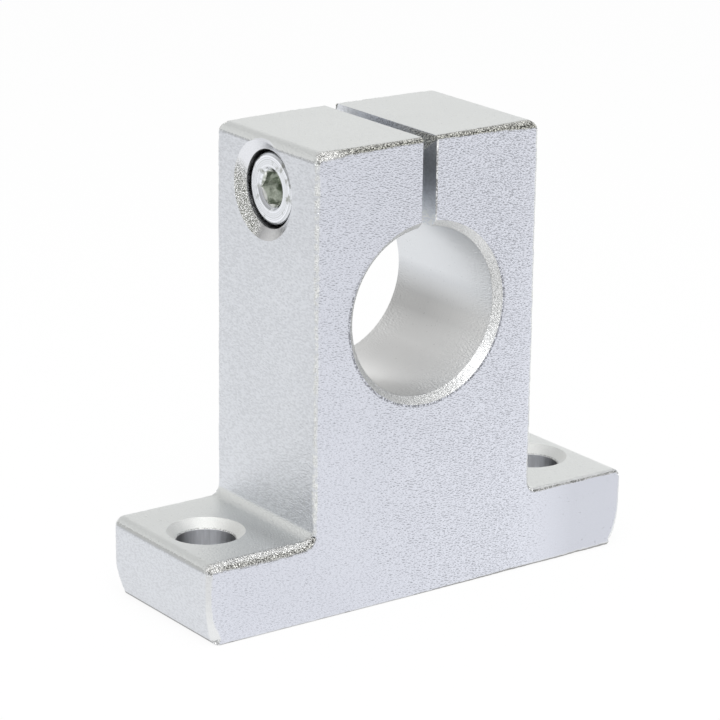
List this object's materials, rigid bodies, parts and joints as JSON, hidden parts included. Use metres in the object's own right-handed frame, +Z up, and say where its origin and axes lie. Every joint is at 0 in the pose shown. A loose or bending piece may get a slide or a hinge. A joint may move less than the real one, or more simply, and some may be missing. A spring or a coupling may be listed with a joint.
{
  "type": "shaft support block",
  "caption": "Upright clamp block that holds the end of a linear shaft: flanged foot, split column with a cross bore, and a socket head clamp screw.",
  "frame": {"origin": "centre of the base face, on the surface that the block is bolted to", "axes": "+X across the two flanges and along the clamp screw from its head, +Y along the shaft, +Z up from the base"},
  "size_m": [0.048, 0.016, 0.044],
  "materials": {
    "anodised_aluminium": "shot-blasted and clear anodised, matt",
    "plated_steel": "bright nickel plating with turning marks"
  },
  "bodies": {
    "block": {"support_block": "anodised_aluminium"},
    "screw": {"clamp_screw": "plated_steel"}
  },
  "joints": [
    {"name": "clamp_screw_turn", "type": "hinge", "parent": "block", "child": "screw", "pos_m": [-0.00765, 0.0005, 0.039], "axis": [-1, 0, 0], "range_deg": [-90, 720]}
  ]
}
